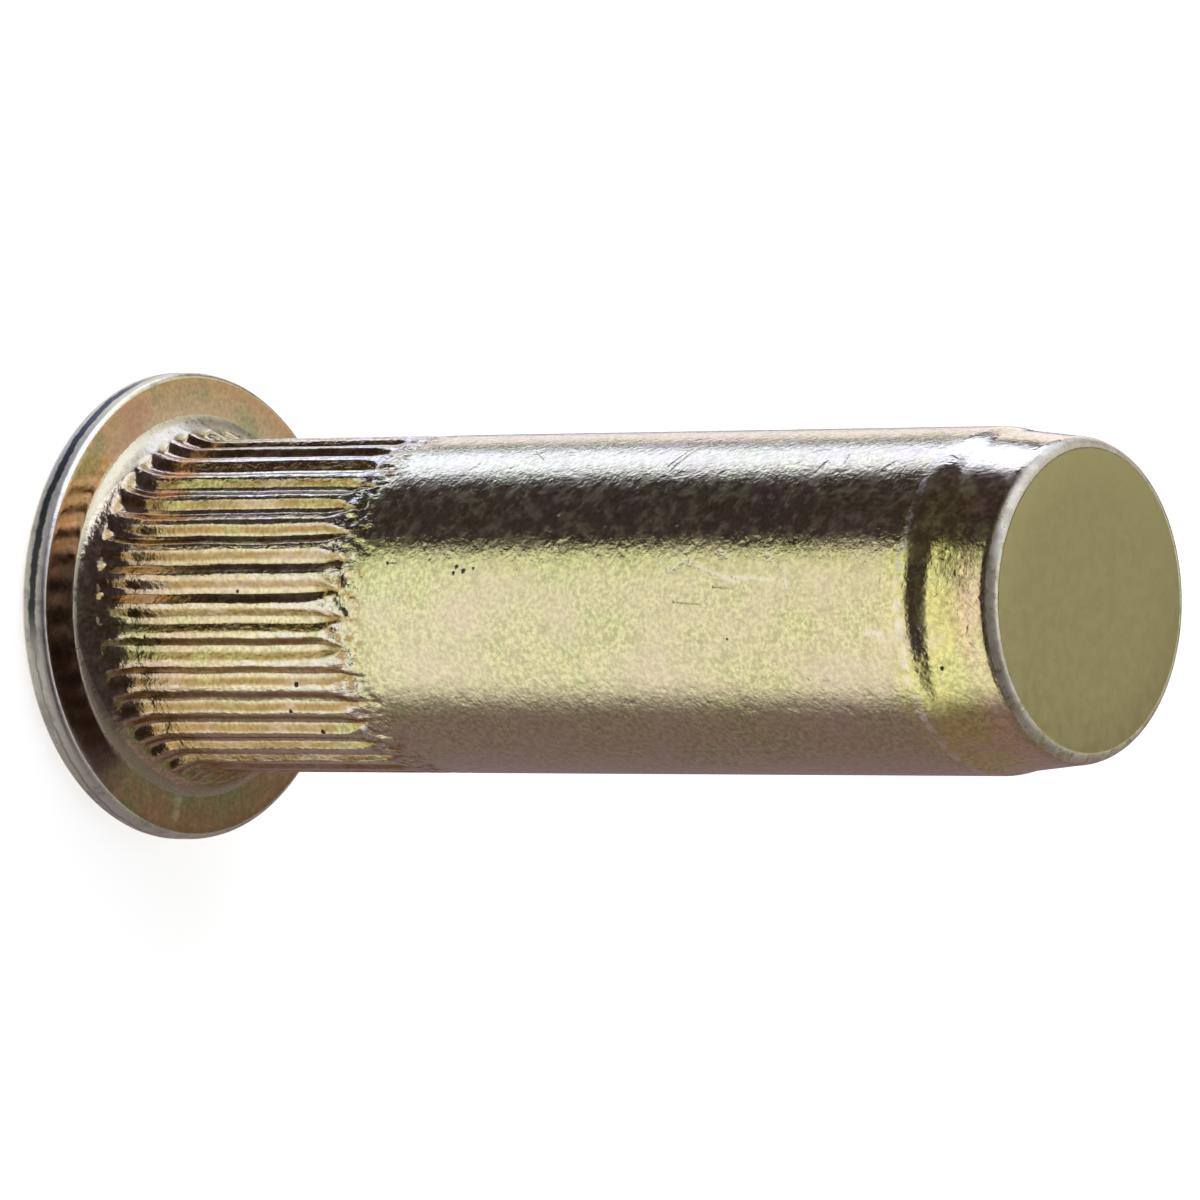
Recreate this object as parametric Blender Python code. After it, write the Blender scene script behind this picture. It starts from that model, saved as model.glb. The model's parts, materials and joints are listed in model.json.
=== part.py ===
"""Closed-end rivet nut with a flat head and straight ribs under the head.

One cold-formed piece of steel. It stands on the outer face of its head, with
the closed end up: the origin is the centre of that face and +Z runs along the
axis to the closed end. The threaded bore opens in the head's outer face. Its
thread is finer than this model goes, so the bore has the thread's inner size.
"""

import math

import bmesh
import bpy

# Driving dimensions across the axis, in metres
THREAD_DIAMETER = 0.0080        # M8, outer size of the thread
THREAD_PITCH = 0.00125          # M8 coarse
COUNTERBORE_RELIEF = 0.00035    # from the thread's outer size to the counterbore's wall
TUBE_WALL = 0.00115             # wall of the plain tube around the counterbore
HEAD_OVERHANG = 0.00225         # from the shank to the rim of the head

# Driving dimensions along the axis, in metres
HEAD_THICKNESS = 0.0011
SHANK_LENGTH = 0.0367           # underside of the head to the closed end
GROOVE_START = 0.0004           # underside of the head to where the grooves between the ribs start
GROOVE_RUN_IN = 0.0006          # length over which they reach their depth
RIB_LENGTH = 0.0112             # underside of the head to where the ribs have run out
RIB_RUN_OUT = 0.0009            # length over which the grooves rise to the plain shank
FOLD_LENGTH = 0.0038            # plain tube past the ribs that folds when the nut is set
END_WALL = 0.0046               # solid metal between the drill point and the closed end
NOSE_LENGTH = 0.0033            # shoulder near the closed end to the closed end

# Edges and blends, in metres
HEAD_EDGE_ROUND = 0.00022       # round on the rim, at the outer face
HEAD_EDGE_BREAK = 0.00009       # small bevel on the rim, at the underside
NECK_WIDTH = 0.00075            # shallow flare from the shank out to the head, across the axis
NECK_RISE = 0.0018              # the same flare, along the axis
NECK_FILLET = 0.00015           # hollow round where the flare meets the head's underside
MOUTH_CHAMFER = 0.00025         # at the mouth of the counterbore
NOSE_STEP = 0.00017             # how far the shoulder drops below the shank
NOSE_STEP_LENGTH = 0.0011       # length of the shoulder
NOSE_TAPER = 0.00017            # narrowing of the land between shoulder and end
NOSE_EDGE_RISE = 0.00055        # rounded edge at the closed end, along the axis
NOSE_EDGE_WIDTH = 0.00038       # the same edge, across the axis

# Ribs, in metres round the shank
RIB_PITCH = 0.00096
RIB_CREST_WIDTH = 0.00026
RIB_FLANK_WIDTH = 0.00022
GROOVE_DEPTH = 0.00017

# Shape rules
THREAD_HEIGHT_SHARE = 1.0825    # thread's inner size = outer size - this x pitch
DRILL_POINT_ANGLE = math.radians(118)
ROUND_STEPS = 3                 # facets along each rounded edge
NECK_STEPS = 5
SHOULDER_STEPS = 4
SHARP_ANGLE = math.radians(30)

# Yellow-chromate zinc plating
PLATING_COLOUR = (0.53, 0.42, 0.21, 1.0)
PLATING_ROUGHNESS = 0.32
PLATING_METALLIC = 1.0

# Sizes that follow from the ones above
thread_radius = (THREAD_DIAMETER - THREAD_HEIGHT_SHARE * THREAD_PITCH) / 2
counterbore_radius = THREAD_DIAMETER / 2 + COUNTERBORE_RELIEF
shank_radius = counterbore_radius + TUBE_WALL
head_radius = shank_radius + HEAD_OVERHANG
full_length = HEAD_THICKNESS + SHANK_LENGTH
rib_count = round(2 * math.pi * shank_radius / RIB_PITCH)


def clear_scene():
    for item in list(bpy.data.objects):
        bpy.data.objects.remove(item, do_unlink=True)


def quarter_arc(steps):
    """Cosine and sine at even steps from 0 to 90 degrees."""
    angles = [math.pi / 2 * step / steps for step in range(steps + 1)]
    return [(math.cos(angle), math.sin(angle)) for angle in angles]


def bore_profile():
    """(height, radius, groove share) from the drill point out to the mouth."""
    thread_start = HEAD_THICKNESS + RIB_LENGTH + FOLD_LENGTH
    lead_in = counterbore_radius - thread_radius
    point_height = thread_radius / math.tan(DRILL_POINT_ANGLE / 2)
    thread_end = full_length - END_WALL - point_height
    return [
        (thread_end, thread_radius, 0),
        (thread_start + lead_in, thread_radius, 0),
        (thread_start, counterbore_radius, 0),
        (MOUTH_CHAMFER, counterbore_radius, 0),
        (0, counterbore_radius + MOUTH_CHAMFER, 0),
    ]


def head_profile():
    """The rim of the head, from its outer face to its underside."""
    rim = []
    for cosine, sine in quarter_arc(ROUND_STEPS):
        height = HEAD_EDGE_ROUND * (1 - cosine)
        radius = head_radius - HEAD_EDGE_ROUND * (1 - sine)
        rim.append((height, radius, 0))
    rim.append((HEAD_THICKNESS - HEAD_EDGE_BREAK, head_radius, 0))
    rim.append((HEAD_THICKNESS, head_radius - HEAD_EDGE_BREAK, 0))
    return rim


def neck_radius(above_head):
    """Radius of the neck: a flare that dies out along the shank, and a fillet at its foot."""
    flare = NECK_WIDTH * max(0, 1 - above_head / NECK_RISE) ** 2
    inside = max(0, NECK_FILLET - above_head)
    fillet = NECK_FILLET - math.sqrt(NECK_FILLET ** 2 - inside ** 2)
    return shank_radius + flare + fillet


def ribbed_profile():
    """The neck, in which the grooves start, and the ribbed length."""
    fillet_heights = [NECK_FILLET * (1 - cosine) for cosine, _ in quarter_arc(ROUND_STEPS)]
    flare_step = (NECK_RISE - NECK_FILLET) / NECK_STEPS
    flare_heights = [NECK_FILLET + flare_step * step for step in range(1, NECK_STEPS + 1)]
    neck = []
    for above_head in fillet_heights + flare_heights:
        groove_share = min(1, max(0, (above_head - GROOVE_START) / GROOVE_RUN_IN))
        neck.append((HEAD_THICKNESS + above_head, neck_radius(above_head), groove_share))
    ribs_end = HEAD_THICKNESS + RIB_LENGTH
    return neck + [
        (ribs_end - RIB_RUN_OUT, shank_radius, 1),
        (ribs_end - RIB_RUN_OUT / 2, shank_radius, 0.6),
        (ribs_end, shank_radius, 0),
    ]


def nose_profile():
    """The shoulder, the land past it and the rounded edge of the closed end."""
    shoulder = full_length - NOSE_LENGTH
    nose = []
    for step in range(SHOULDER_STEPS + 1):
        share = step / SHOULDER_STEPS
        drop = NOSE_STEP * (1 - math.cos(math.pi * share)) / 2
        nose.append((shoulder + NOSE_STEP_LENGTH * share, shank_radius - drop, 0))
    land_radius = shank_radius - NOSE_STEP - NOSE_TAPER
    for cosine, sine in quarter_arc(ROUND_STEPS):
        height = full_length - NOSE_EDGE_RISE * (1 - sine)
        radius = land_radius - NOSE_EDGE_WIDTH * (1 - cosine)
        nose.append((height, radius, 0))
    return nose


def rib_angles():
    """Four (angle, groove share) pairs for each rib: two on its crest, two in a groove."""
    pitch_angle = 2 * math.pi / rib_count
    crest = RIB_CREST_WIDTH / shank_radius / 2
    foot = crest + RIB_FLANK_WIDTH / shank_radius
    angles = []
    for rib in range(rib_count):
        middle = rib * pitch_angle
        angles += [
            (middle - crest, 0),
            (middle + crest, 0),
            (middle + foot, 1),
            (middle + pitch_angle - foot, 1),
        ]
    return angles


def add_ring(mesh, height, radius, groove_share):
    ring = []
    for angle, in_groove in rib_angles():
        reach = radius - GROOVE_DEPTH * groove_share * in_groove
        ring.append(mesh.verts.new((reach * math.cos(angle), reach * math.sin(angle), height)))
    return ring


def close_ring(mesh, ring, height):
    """Joins a ring to a single point on the axis."""
    tip = mesh.verts.new((0, 0, height))
    for first, second in zip(ring, ring[1:] + ring[:1]):
        mesh.faces.new((first, second, tip))


def join_rings(mesh, lower, upper):
    for index in range(len(lower)):
        after = (index + 1) % len(lower)
        mesh.faces.new((lower[index], lower[after], upper[after], upper[index]))


def plating_material():
    material = bpy.data.materials.new("yellow_zinc_plating")
    material.use_nodes = True
    shader = material.node_tree.nodes["Principled BSDF"]
    shader.inputs["Base Color"].default_value = PLATING_COLOUR
    shader.inputs["Roughness"].default_value = PLATING_ROUGHNESS
    shader.inputs["Metallic"].default_value = PLATING_METALLIC
    material.diffuse_color = PLATING_COLOUR
    return material


def make_rivet_nut():
    """One closed skin: up the outside from the bore's mouth, and down into the bore."""
    mesh = bmesh.new()
    profile = bore_profile() + head_profile() + ribbed_profile() + nose_profile()
    rings = [add_ring(mesh, *station) for station in profile]
    for lower, upper in zip(rings, rings[1:]):
        join_rings(mesh, lower, upper)
    close_ring(mesh, rings[0], full_length - END_WALL)
    close_ring(mesh, rings[-1], full_length)
    bmesh.ops.recalc_face_normals(mesh, faces=mesh.faces)
    data = bpy.data.meshes.new("rivet_nut")
    mesh.to_mesh(data)
    mesh.free()
    data.shade_smooth()
    data.set_sharp_from_angle(angle=SHARP_ANGLE)
    data.materials.append(plating_material())
    rivet_nut = bpy.data.objects.new("rivet_nut", data)
    bpy.context.scene.collection.objects.link(rivet_nut)
    return rivet_nut


clear_scene()
make_rivet_nut()
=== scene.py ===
import json
import math

import bpy
from mathutils import Matrix, Vector

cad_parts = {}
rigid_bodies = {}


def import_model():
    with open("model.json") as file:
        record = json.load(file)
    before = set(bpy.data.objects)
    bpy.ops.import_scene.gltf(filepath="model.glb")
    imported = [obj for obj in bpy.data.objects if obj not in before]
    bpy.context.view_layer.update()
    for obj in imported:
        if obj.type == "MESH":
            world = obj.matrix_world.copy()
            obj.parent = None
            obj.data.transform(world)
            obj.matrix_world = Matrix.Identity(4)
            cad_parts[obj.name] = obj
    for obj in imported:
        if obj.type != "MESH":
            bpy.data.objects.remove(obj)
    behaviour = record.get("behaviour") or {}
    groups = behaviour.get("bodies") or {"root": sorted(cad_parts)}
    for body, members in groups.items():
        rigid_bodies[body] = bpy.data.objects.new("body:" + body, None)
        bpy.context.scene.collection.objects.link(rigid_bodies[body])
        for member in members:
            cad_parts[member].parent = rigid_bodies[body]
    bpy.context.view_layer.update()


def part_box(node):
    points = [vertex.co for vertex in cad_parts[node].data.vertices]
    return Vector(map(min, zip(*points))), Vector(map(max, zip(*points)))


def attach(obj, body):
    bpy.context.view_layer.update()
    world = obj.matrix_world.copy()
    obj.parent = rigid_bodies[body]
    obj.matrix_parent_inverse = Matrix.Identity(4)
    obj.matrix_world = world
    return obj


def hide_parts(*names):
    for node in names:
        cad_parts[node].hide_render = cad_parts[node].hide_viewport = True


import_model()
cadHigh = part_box("rivet_nut")[1]
mm = 0.001


# A node with its settings and its inputs, each a value or a socket to link.
def addNode(tree, kind, inputs=None, **settings):
    made = tree.nodes.new(kind)
    for name, value in settings.items():
        setattr(made, name, value)
    for socket, value in (inputs or {}).items():
        if isinstance(value, bpy.types.NodeSocket):
            tree.links.new(value, made.inputs[socket])
        else:
            made.inputs[socket].default_value = value
    return made


# The node tree that the first socket among some values is in.
def treeOf(*values):
    return next(value.id_data for value in values if isinstance(value, bpy.types.NodeSocket))


# One Math node in the tree of its values, given and returning sockets.
def calc(operation, first, second=None):
    values = {0: first} if second is None else {0: first, 1: second}
    return addNode(treeOf(first, second), "ShaderNodeMath", values, operation=operation).outputs[0]


def times(first, *others):
    for other in others:
        first = calc("MULTIPLY", first, other)
    return first


def plus(first, second):
    return calc("ADD", first, second)


def minus(first, second):
    return calc("SUBTRACT", first, second)


# One Vector Math node; gives its value for a length, distance or dot product, else its vector.
def calcVector(operation, first, second=None):
    values = {0: first} if second is None else {0: first, 1: second}
    made = addNode(treeOf(first, second), "ShaderNodeVectorMath", values, operation=operation)
    return made.outputs["Value" if operation in ("LENGTH", "DISTANCE", "DOT_PRODUCT") else "Vector"]


def vectorOf(**parts):
    return addNode(treeOf(*parts.values()), "ShaderNodeCombineXYZ", parts).outputs[0]


def lengthened(vector, share):
    values = {0: vector, "Scale": share}
    return addNode(treeOf(vector), "ShaderNodeVectorMath", values, operation="SCALE").outputs[0]


# Smooth step of a value from lowOut at low to highOut at high.
def ramp(value, low, high, lowOut=0.0, highOut=1.0):
    values = {0: value, 1: low, 2: high, 3: lowOut, 4: highOut}
    return addNode(treeOf(value), "ShaderNodeMapRange", values, interpolation_type="SMOOTHSTEP").outputs[0]


# 1 between low and high, 0 outside, with soft edges.
def window(value, low, high, soft):
    return times(ramp(value, low - soft, low + soft),
                 ramp(value, high - soft, high + soft, 1.0, 0.0))


# the turned blank; its head's radius and its full length come from the frame

blank = {
    "headRadius": cadHigh.x,
    "fullLength": cadHigh.z,
    "headThickness": 1.1 * mm,
    "rimRound": 0.32 * mm,  # rim's edge at the outer face
    "rimBreak": 0.24 * mm,  # rim's edge at the underside
    "undersideFall": 0.06 * mm,  # how much lower the underside lies at the rim than at the neck
    "shankRadius": 5.5 * mm,
    "neckWidth": 0.75 * mm,  # shallow flare from the shank out to the head
    "neckRise": 1.8 * mm,
    "neckFillet": 0.20 * mm,  # hollow round at the flare's foot
    "noseLength": 3.3 * mm,  # start of the shoulder to the closed end
    "shoulderLength": 1.1 * mm,
    "shoulderDrop": 0.17 * mm,
    "landTaper": 0.17 * mm,  # narrowing between the shoulder and the end's edge
    "endEdgeRise": 0.55 * mm,
    "endEdgeWidth": 0.38 * mm,
    "faceHub": 0.6 * mm,  # innermost ring of the closed end's face
    "mouthChamfer": 0.25 * mm,
    "counterboreRadius": 4.35 * mm,
    "tapRadius": 4.0 * mm,  # thread's outer size, M8
    "drillRadius": 3.33 * mm,
    "tapStart": 16.1 * mm,
    "tapEnd": 30.2 * mm,
    "tapRunOut": 0.7 * mm,  # taper at the tap's deep end
    "drillPoint": 33.2 * mm,
    "drillPointRise": 2.0 * mm,
    "ribCount": 36,
    "segmentsPerRib": 20,  # of the mesh, round the axis
    # rings of the mesh along each stretch, which lie closest where the ribs start and run out
    "rimSteps": 6, "lipSteps": 4, "breakSteps": 4, "undersideSteps": 8,
    "filletSteps": 5, "neckSteps": (3, 6, 9), "ribbedSteps": 15, "runOutSteps": 24, "plainSteps": 5,
    "shoulderSteps": 10, "landSteps": 5, "endEdgeSteps": 11, "faceSteps": 3,
    "runOutBelow": 2.2 * mm,  # the run-out's close rings, on both sides of the ribs' end
    "runOutAbove": 0.6 * mm,
}


# Evenly spaced (height, radius) stations after the first and up to the last.
def stretch(first, last, count):
    return [(first[0] + (last[0] - first[0]) * step / count,
             first[1] + (last[1] - first[1]) * step / count) for step in range(1, count + 1)]


def quarterArc(count):
    angles = [math.pi / 2 * step / count for step in range(count + 1)]
    return [(math.cos(angle), math.sin(angle)) for angle in angles]


# From the drill point's cone down to the mouth in the head's outer face.
def boreStations(b):
    coneBase = (b["drillPoint"] - b["drillPointRise"], b["drillRadius"])
    tapLeadOut = (b["tapEnd"], b["drillRadius"])
    tapTop = (b["tapEnd"] - b["tapRunOut"], b["tapRadius"])
    tapBottom = (b["tapStart"] + b["counterboreRadius"] - b["tapRadius"], b["tapRadius"])
    counterboreTop = (b["tapStart"], b["counterboreRadius"])
    mouthTop = (b["mouthChamfer"], b["counterboreRadius"])
    mouth = (0, b["counterboreRadius"] + b["mouthChamfer"])
    return [coneBase, tapLeadOut, tapTop, tapBottom, counterboreTop, mouthTop, mouth]


def headStations(b):
    rim = [(b["rimRound"] * (1 - cosine), b["headRadius"] - b["rimRound"] * (1 - sine))
           for cosine, sine in quarterArc(b["rimSteps"])]
    rimTop = b["headThickness"] - b["undersideFall"]
    lip = (rimTop - b["rimBreak"], b["headRadius"])
    turned = [(rimTop - b["rimBreak"] * (1 - sine), b["headRadius"] - b["rimBreak"] * (1 - cosine))
              for cosine, sine in quarterArc(b["breakSteps"])[1:]]
    neckFoot = (b["headThickness"], neckRadius(b, 0))
    return (rim + stretch(rim[-1], lip, b["lipSteps"]) + turned
            + stretch(turned[-1], neckFoot, b["undersideSteps"]))


# A flare that dies out along the shank, with a fillet at its foot.
def neckRadius(b, aboveHead):
    flare = b["neckWidth"] * max(0, 1 - aboveHead / b["neckRise"]) ** 2
    inside = max(0, b["neckFillet"] - aboveHead)
    fillet = b["neckFillet"] - math.sqrt(b["neckFillet"] ** 2 - inside ** 2)
    return b["shankRadius"] + flare + fillet


# Neck, ribbed length and plain shank, up to the shoulder.
def shankStations(b):
    base = b["headThickness"]
    heights = [b["neckFillet"] * (1 - cosine) for cosine, _ in quarterArc(b["filletSteps"])][1:]
    stops = (b["neckFillet"], ribs["riseStart"], ribs["riseEnd"], b["neckRise"])
    for low, high, count in zip(stops, stops[1:], b["neckSteps"]):
        heights += [height for height, _ in stretch((low, 0), (high, 0), count)]
    neck = [(base + height, neckRadius(b, height)) for height in heights]
    runOutStart = (base + ribs["end"] - b["runOutBelow"], b["shankRadius"])
    runOutEnd = (base + ribs["end"] + b["runOutAbove"], b["shankRadius"])
    shoulder = (b["fullLength"] - b["noseLength"], b["shankRadius"])
    return (neck + stretch(neck[-1], runOutStart, b["ribbedSteps"])
            + stretch(runOutStart, runOutEnd, b["runOutSteps"])
            + stretch(runOutEnd, shoulder, b["plainSteps"]))


def noseStations(b):
    shoulder = b["fullLength"] - b["noseLength"]
    slope = []
    for step in range(1, b["shoulderSteps"] + 1):
        share = step / b["shoulderSteps"]
        drop = b["shoulderDrop"] * (1 - math.cos(math.pi * share)) / 2
        slope.append((shoulder + b["shoulderLength"] * share, b["shankRadius"] - drop))
    landRadius = b["shankRadius"] - b["shoulderDrop"] - b["landTaper"]
    edge = [(b["fullLength"] - b["endEdgeRise"] * (1 - sine), landRadius - b["endEdgeWidth"] * (1 - cosine))
            for cosine, sine in quarterArc(b["endEdgeSteps"])]
    face = stretch(edge[-1], (b["fullLength"], b["faceHub"]), b["faceSteps"])
    return slope + stretch(slope[-1], edge[0], b["landSteps"]) + edge[1:] + face


# One closed mesh of rings around +Z, with a point on the axis at each end.
def turnBlank(b):
    stations = boreStations(b) + headStations(b) + shankStations(b) + noseStations(b)
    count = b["segmentsPerRib"] * b["ribCount"]
    around = [(math.cos(2 * math.pi * i / count), math.sin(2 * math.pi * i / count)) for i in range(count)]
    points = [(radius * x, radius * y, height) for height, radius in stations for x, y in around]
    faces = []
    for ring in range(len(stations) - 1):
        low, high = ring * count, (ring + 1) * count
        for i in range(count):
            after = (i + 1) % count
            faces.append((low + i, low + after, high + after, high + i))
    drillTip, endCentre = len(points), len(points) + 1
    points += [(0, 0, b["drillPoint"]), (0, 0, b["fullLength"])]
    last = (len(stations) - 1) * count
    for i in range(count):
        after = (i + 1) % count
        faces.append((after, i, drillTip))
        faces.append((last + i, last + after, endCentre))
    mesh = bpy.data.meshes.new("blank")
    mesh.from_pydata(points, [], faces)
    mesh.shade_smooth()
    print("blank:", len(points), "points")
    return mesh


# geometry node helpers

# A geometry tree with a named input for each value; gives the tree and its group input's sockets.
def newGeometryTree(name, values):
    tree = bpy.data.node_groups.new(name, "GeometryNodeTree")
    tree.is_modifier = True
    tree.interface.new_socket(name="Geometry", in_out="INPUT", socket_type="NodeSocketGeometry")
    for label, value in values.items():
        kind = {int: "NodeSocketInt", float: "NodeSocketFloat"}.get(type(value), "NodeSocketMaterial")
        tree.interface.new_socket(name=label, in_out="INPUT", socket_type=kind)
    tree.interface.new_socket(name="Geometry", in_out="OUTPUT", socket_type="NodeSocketGeometry")
    return tree, tree.nodes.new("NodeGroupInput").outputs


def finishTree(tree, geometry, material):
    real = addNode(tree, "GeometryNodeRealizeInstances", {0: geometry})
    painted = addNode(tree, "GeometryNodeSetMaterial", {"Geometry": real.outputs[0], "Material": material})
    addNode(tree, "NodeGroupOutput", {0: painted.outputs[0]})


# Runs a geometry tree on a mesh and gives a plain object of the result.
def applyTree(mesh, name, tree, values):
    carrier = bpy.data.objects.new(name + "Carrier", mesh)
    bpy.context.scene.collection.objects.link(carrier)
    modifier = carrier.modifiers.new(name, "NODES")
    modifier.node_group = tree
    for item in tree.interface.items_tree:
        if item.in_out == "INPUT" and item.name in values:
            modifier[item.identifier] = values[item.name]
    bpy.context.view_layer.update()
    evaluated = carrier.evaluated_get(bpy.context.evaluated_depsgraph_get())
    result = bpy.data.meshes.new_from_object(evaluated)
    bpy.data.objects.remove(carrier)
    made = bpy.data.objects.new(name, result)
    bpy.context.scene.collection.objects.link(made)
    return made


# Keeps a value on the mesh's points, for the material to read.
def keepValue(tree, geometry, name, value):
    kept = addNode(tree, "GeometryNodeStoreNamedAttribute", {"Geometry": geometry, "Name": name},
                   data_type="FLOAT", domain="POINT")
    tree.links.new(value, [s for s in kept.inputs if s.name == "Value" and s.type == "VALUE"][0])
    return kept.outputs[0]


# ribs, rolled into the blank by a geometry tree

ribs = {
    "grooveDepth": 0.20 * mm,
    "floorWidth": 0.16 * mm,  # groove floor, between its two flanks
    "flankWidth": 0.31 * mm,
    "rolledSkin": 0.6 * mm,  # how deep below the shank's skin the rolling reaches, so not into the bore
    "riseStart": 0.48 * mm,  # above the head's underside, where grooves begin
    "riseEnd": 0.69 * mm,
    "end": 11.45 * mm,  # above the head's underside, where grooves have run out
    "runOut": 1.7 * mm,
    "unevenEnd": 0.5 * mm,  # how far one groove may stop short of another
    "unevenDepth": 0.25,  # share by which one groove may be shallower
    "unevenWidth": 0.20,
    "tipShare": 0.08,  # share of its width that a groove keeps where it ends
    "wander": 0.24 * mm,
    "wanderScale": 320.0,  # noise scale, per metre
    "looserAtEnd": 3.0,  # how many times more a groove wanders where it ends
    "crumple": 0.34 * mm,  # dents where the rolling tool let go
    "crumpleScale": 2200.0,  # noise scale, per metre
    "crumpleLevel": 0.56,  # noise value below which a spot is dented
    "crumpleBefore": 0.7 * mm,  # from the middle of the crumpled belt to where grooves have run out
    "crumpleFade": (0.3 * mm, 1.3 * mm),
    "seed": 7,
}


def ribTree(values):
    tree, size = newGeometryTree("ribRolling", values)
    position = addNode(tree, "GeometryNodeInputPosition").outputs[0]
    split = addNode(tree, "ShaderNodeSeparateXYZ", {0: position}).outputs
    height = split["Z"]
    angle = calc("ARCTAN2", split["Y"], split["X"])
    turns = times(calc("DIVIDE", angle, 2 * math.pi), size["Rib Count"])
    grooveIndex = calc("FLOOR", turns)
    pitch = calc("DIVIDE", times(size["Shank Radius"], 2 * math.pi), size["Rib Count"])

    # a random value from 0 to 1 for each groove
    def perGroove(seedStep):
        drawn = addNode(tree, "FunctionNodeRandomValue", data_type="FLOAT")
        tree.links.new(grooveIndex, drawn.inputs["ID"])
        tree.links.new(plus(size["Seed"], seedStep), drawn.inputs["Seed"])
        return [s for s in drawn.outputs if s.type == "VALUE"][0]

    # each groove stops at its own height, and its end runs to a point
    end = minus(size["Ribs End"], times(perGroove(1), size["Uneven End"]))
    fade = ramp(height, minus(end, size["Run Out"]), end, 1.0, 0.0)
    rise = ramp(height, size["Rise Start"], size["Rise End"])
    swing = times(minus(perGroove(3), 0.5), size["Uneven Width"])
    taper = plus(times(fade, 1 - ribs["tipShare"]), ribs["tipShare"])
    widthShare = times(plus(swing, 1.0), taper)

    # it wanders a little to the side along its length, and more where it runs out
    along = vectorOf(X=grooveIndex, Z=times(height, ribs["wanderScale"]))
    bend = addNode(tree, "ShaderNodeTexNoise", {"Vector": along, "Scale": 1.0, "Detail": 2.0}).outputs[0]
    looser = minus(ribs["looserAtEnd"], times(fade, ribs["looserAtEnd"] - 1))
    sideways = times(minus(bend, 0.5), size["Wander"], looser)
    fromMiddle = minus(calc("FRACT", turns), 0.5)
    across = calc("ABSOLUTE", plus(times(fromMiddle, pitch), sideways))
    halfFloor = times(size["Floor Width"], 0.5, widthShare)
    flankFoot = plus(halfFloor, times(size["Flank Width"], widthShare))
    profile = addNode(tree, "ShaderNodeMapRange", {
        0: across, 1: halfFloor, 2: flankFoot, 3: 1.0, 4: 0.0}).outputs[0]

    shallower = minus(1.0, times(perGroove(2), size["Uneven Depth"]))
    flat = vectorOf(X=split["X"], Y=split["Y"])
    outside = calc("GREATER_THAN", calcVector("LENGTH", flat), size["Bore Radius"])
    groove = times(times(profile, rise), times(fade, outside))
    depth = times(groove, shallower, size["Groove Depth"])

    # the rolled ends of the grooves are crumpled
    crumpleMiddle = minus(size["Ribs End"], ribs["crumpleBefore"])
    fromCrumple = calc("ABSOLUTE", minus(height, crumpleMiddle))
    runOutZone = times(ramp(fromCrumple, *ribs["crumpleFade"], 1.0, 0.0), outside)
    rough = addNode(tree, "ShaderNodeTexNoise", {
        "Vector": position, "Scale": ribs["crumpleScale"], "Detail": 3.0}).outputs[0]
    crumple = times(minus(rough, ribs["crumpleLevel"]), size["Crumple"], runOutZone)
    offset = minus(calc("MINIMUM", crumple, 0.0), depth)
    push = lengthened(calcVector("NORMALIZE", flat), offset)
    moved = addNode(tree, "GeometryNodeSetPosition", {
        "Geometry": size["Geometry"], "Offset": push}).outputs[0]

    # what the material reads
    crest = times(times(rise, fade, outside), minus(1.0, profile))
    starting = times(rise, minus(1.0, rise), 4.0, profile, outside)
    kept = {"groove": groove, "crest": crest, "grooveStart": starting, "runOut": runOutZone}
    for name, value in kept.items():
        moved = keepValue(tree, moved, name, value)
    finishTree(tree, moved, size["Material"])
    return tree


def makeBody(material):
    base = blank["headThickness"]
    values = {
        "Rib Count": blank["ribCount"], "Groove Depth": ribs["grooveDepth"],
        "Floor Width": ribs["floorWidth"], "Flank Width": ribs["flankWidth"],
        "Shank Radius": blank["shankRadius"], "Bore Radius": blank["shankRadius"] - ribs["rolledSkin"],
        "Rise Start": base + ribs["riseStart"], "Rise End": base + ribs["riseEnd"],
        "Ribs End": base + ribs["end"], "Run Out": ribs["runOut"],
        "Uneven End": ribs["unevenEnd"], "Uneven Depth": ribs["unevenDepth"],
        "Uneven Width": ribs["unevenWidth"], "Wander": ribs["wander"],
        "Crumple": ribs["crumple"], "Seed": ribs["seed"], "Material": material}
    body = applyTree(turnBlank(blank), "nut_body", ribTree(values), values)
    print("body: ribs rolled,", len(body.data.polygons), "faces")
    return body


# thread, a ridge wound inside the bore by a geometry tree

thread = {
    "pitch": 1.25 * mm,
    "innerRadius": 3.323 * mm,
    "crestWidth": 0.31 * mm,
    "rootWidth": 1.09 * mm,
    "sunk": 0.03 * mm,  # how far the ridge's foot sits in the wall
    "endGap": 0.7 * mm,  # plain wall between the tapped length's ends and the ridge
    "endLength": 0.05,  # share of the ridge over which each of its ends swells
    "endSize": 0.1,  # share of its section that it starts with
    "stepsPerTurn": 72,
}


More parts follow.
